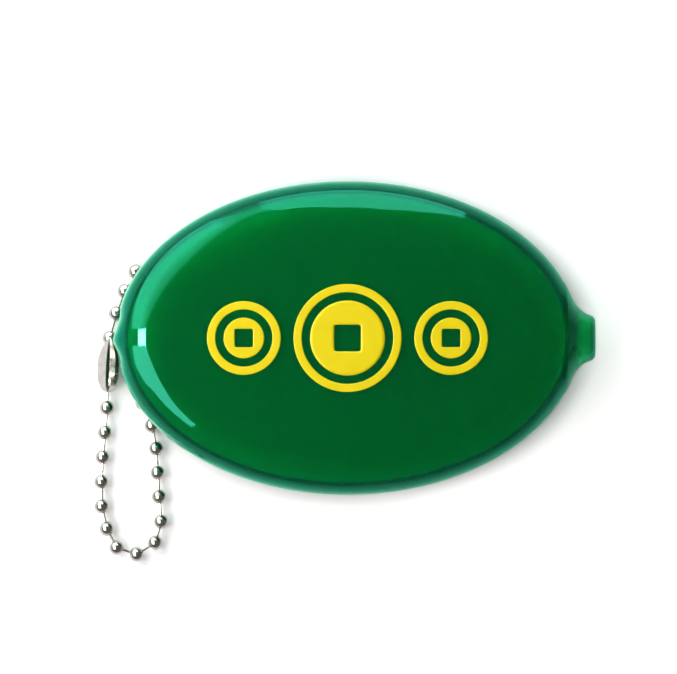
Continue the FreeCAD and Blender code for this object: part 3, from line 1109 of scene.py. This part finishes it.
# %% Small lamp
LAMP_AZIMUTH = math.radians(179.5)
LAMP_ELEVATION = math.radians(56)
LAMP_RADIANCE = 110.0
LAMP_COLOUR = "#FFE6D0"
LAMP_SIZE = (68 * MM, 140 * MM)
away = Vector((1, 0, 0))
away.rotate(Euler((0, -LAMP_ELEVATION, LAMP_AZIMUTH)))
lamp = bpy.data.lights.new("small_lamp", "AREA")
lamp.shape = "RECTANGLE"
lamp.size, lamp.size_y = LAMP_SIZE
lamp.color = linear(LAMP_COLOUR)[:3]
lamp.energy = LAMP_RADIANCE * math.pi * lamp.size * lamp.size_y
lamp_holder = bpy.data.objects.new("small_lamp", lamp)
lamp_holder.location = away * SCREEN_DISTANCE
lamp_holder.rotation_euler = away.to_track_quat("Z", "Y").to_euler()
lamp_holder.visible_diffuse = False
bpy.context.scene.collection.objects.link(lamp_holder)
print("small lamp at", [round(v, 3) for v in lamp_holder.location], "m")

# %% [markdown]
# ## White sheet
# The sheet is matt white paper. It glows faintly to the camera and to mirrored rays, which makes it a clean
# white without more light on the purse. The glow is gone under the purse, so the real shadow shows there, and
# it fades in over a band past the outline, which paints a darker contact shadow. The panels on the left light
# the sheet on that side, so the camera sees less glow and more of the chain's shadow. The chain and the left
# tip mirror that bright side, so mirrored rays see more glow there.

# %% Glow of the sheet
SEEN_GLOW = (0.35, 0.74)
SEEN_GLOW_X = (-30 * MM, 20 * MM)
SEEN_FULL = (0.06, 0.3)
MIRRORED_GLOW = (0.36, 0.25)
MIRRORED_GLOW_X = (-30 * MM, -20 * MM)
MIRRORED_END = (0.06, 0.12)
PAINTED_SHADOW_EDGE = (0.92, 1.12)


def sheet_glow(tree, place):
    """Strength of the glow for the camera and for mirrored rays, faded out around the purse as a painted
    shadow.
    """
    rays = add_node(tree, "ShaderNodeLightPath").outputs
    distance = scaled_length(tree, place, (1, 1, 0))
    along = add_node(tree, "ShaderNodeSeparateXYZ", {"Vector": place}).outputs["X"]
    seen_near = add_node(
        tree, "ShaderNodeMapRange",
        {
            "Value": along, "From Min": SEEN_GLOW_X[0], "From Max": SEEN_GLOW_X[1],
            "To Min": SEEN_GLOW[0], "To Max": SEEN_GLOW[1],
        },
    )
    seen = add_node(
        tree, "ShaderNodeMapRange",
        {
            "Value": distance, "From Min": SEEN_FULL[0], "From Max": SEEN_FULL[1],
            "To Min": seen_near, "To Max": 1.0,
        },
    )
    mirrored_near = add_node(
        tree, "ShaderNodeMapRange",
        {
            "Value": along, "From Min": MIRRORED_GLOW_X[0], "From Max": MIRRORED_GLOW_X[1],
            "To Min": MIRRORED_GLOW[0], "To Max": MIRRORED_GLOW[1],
        },
        interpolation_type="SMOOTHSTEP",
    )
    mirrored = add_node(
        tree, "ShaderNodeMapRange",
        {
            "Value": distance, "From Min": MIRRORED_END[0], "From Max": MIRRORED_END[1],
            "To Min": mirrored_near, "To Max": 0.0,
        },
    )
    spread = scaled_length(tree, place, (1 / HALF_LENGTH, 1 / HALF_WIDTH, 0))
    # Painted shadow: no glow under the purse, rising through a band just past its outline.
    clear = add_node(
        tree, "ShaderNodeMapRange", {"Value": spread, "From Min": PAINTED_SHADOW_EDGE[0], "From Max": PAINTED_SHADOW_EDGE[1]},
        interpolation_type="SMOOTHSTEP",
    )
    by_mirror = add_node(
        tree, "ShaderNodeMath", {0: rays["Is Glossy Ray"], 1: rays["Is Transmission Ray"]},
        operation="MAXIMUM",
    )
    to_camera = add_node(tree, "ShaderNodeMath", {0: rays["Is Camera Ray"], 1: seen}, operation="MULTIPLY")
    both = add_node(
        tree, "ShaderNodeMath", {0: by_mirror, 1: mirrored, 2: to_camera}, operation="MULTIPLY_ADD"
    )
    return add_node(tree, "ShaderNodeMath", {0: both, 1: clear}, operation="MULTIPLY")


print("mirrored glow ends", MIRRORED_END[1], "m from the middle")

# %% [markdown]
# The paper is faintly cloudy, and it lies a hair below the purse so that the two don't share a surface.

# %% White sheet
SHEET_HALF_SIZE = 8.0
SHEET_BELOW = 0.05 * MM
PAPER_CLOUD = 30 * MM
PAPER_COLOUR = "#FDFDFE"
PAPER_SHADE = "#F9F9FA"


def white_paper():
    # Matt paper is white from every side and takes a soft shadow.
    material, tree, shader, place = new_material("white_paper")
    clouds = add_node(tree, "ShaderNodeTexNoise", {"Vector": place, "Scale": 1 / PAPER_CLOUD, "Detail": 2.0})
    tone = add_node(
        tree, "ShaderNodeMix",
        {0: clouds.outputs["Fac"], COLOUR_A: linear(PAPER_COLOUR), COLOUR_B: linear(PAPER_SHADE)},
        data_type="RGBA",
    ).outputs[COLOUR_OUT]
    feed(shader, {
        "Base Color": tone, "Roughness": 1.0, "Specular IOR Level": 0.0,
        "Emission Color": (1, 1, 1, 1), "Emission Strength": sheet_glow(tree, place),
    })
    return material


bm = bmesh.new()
bmesh.ops.create_grid(bm, x_segments=1, y_segments=1, size=SHEET_HALF_SIZE)
bmesh.ops.translate(bm, verts=bm.verts, vec=(0, 0, -SHEET_BELOW))
floor_mesh = bpy.data.meshes.new("floor")
bm.to_mesh(floor_mesh)
bm.free()
floor_mesh.materials.append(white_paper())
floor = new_object("floor", floor_mesh)
floor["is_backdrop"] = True
print("sheet is", 2 * SHEET_HALF_SIZE, "m wide")

# %% [markdown]
# The studio itself is dim, a little lighter near the horizon than overhead, and this fills the shadow. What
# mirrors no panel mirrors the walls, which are paler and darken upwards. The camera sees plain white.

# %% Dim studio
SKY = (0.25, 0.06)
SKY_TOP = 0.6
WALLS = (0.6, 0.17)
WALLS_TOP = 0.4
world = bpy.data.worlds.new("studio")
bpy.context.scene.world = world
world.use_nodes = True
tree = world.node_tree
direction = add_node(tree, "ShaderNodeTexCoord").outputs["Generated"]
height = add_node(tree, "ShaderNodeSeparateXYZ", {"Vector": direction}).outputs["Z"]
rays = add_node(tree, "ShaderNodeLightPath").outputs
sky = add_node(
    tree, "ShaderNodeMapRange",
    {"Value": height, "From Max": SKY_TOP, "To Min": SKY[0], "To Max": SKY[1]},
    interpolation_type="SMOOTHSTEP",
)
walls = add_node(
    tree, "ShaderNodeMapRange",
    {"Value": height, "From Max": WALLS_TOP, "To Min": WALLS[0], "To Max": WALLS[1]},
    interpolation_type="SMOOTHSTEP",
)
mirrored = add_node(tree, "ShaderNodeMath", {0: rays["Is Glossy Ray"], 1: walls}, operation="MULTIPLY")
lit = add_node(tree, "ShaderNodeMath", {0: sky, 1: mirrored}, operation="MAXIMUM")
seen = add_node(tree, "ShaderNodeMath", {0: lit, 1: rays["Is Camera Ray"]}, operation="MAXIMUM")
feed(tree.nodes["Background"], {"Color": seen})
print("studio world has", len(tree.nodes), "nodes")

# %% [markdown]
# The outline in the photograph is an even oval, so the camera hangs straight above, far enough away that its
# perspective hardly shows. The focal length follows from the width that the picture covers.

# %% Camera
CAMERA_HEIGHT = 2.5
CAMERA_OVER = (-1.42 * MM, 0.16 * MM)
CAMERA_REACH = 10
SENSOR_WIDTH = 36
VIEW_WIDTH = 106.8 * MM
camera = bpy.data.cameras.new("camera")
camera.lens = SENSOR_WIDTH * (CAMERA_HEIGHT - HALF_THICKNESS) / VIEW_WIDTH
camera.clip_end = CAMERA_REACH
camera_holder = bpy.data.objects.new("camera", camera)
camera_holder.location = (*CAMERA_OVER, CAMERA_HEIGHT)
bpy.context.scene.collection.objects.link(camera_holder)
bpy.context.scene.camera = camera_holder
bpy.context.scene.view_settings.view_transform = "Standard"
print("camera lens", round(camera.lens), "mm")

# %% Print the sizes
visual_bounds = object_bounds()
sizes = {
    "cad": [list(corner) for corner in cad_bounds],
    "visual": [list(corner) for corner in visual_bounds],
}
print("CAD and visual bounds in mm:")
for name, corners in sizes.items():
    print(name, [[round(v / MM, 2) for v in corner] for corner in corners])
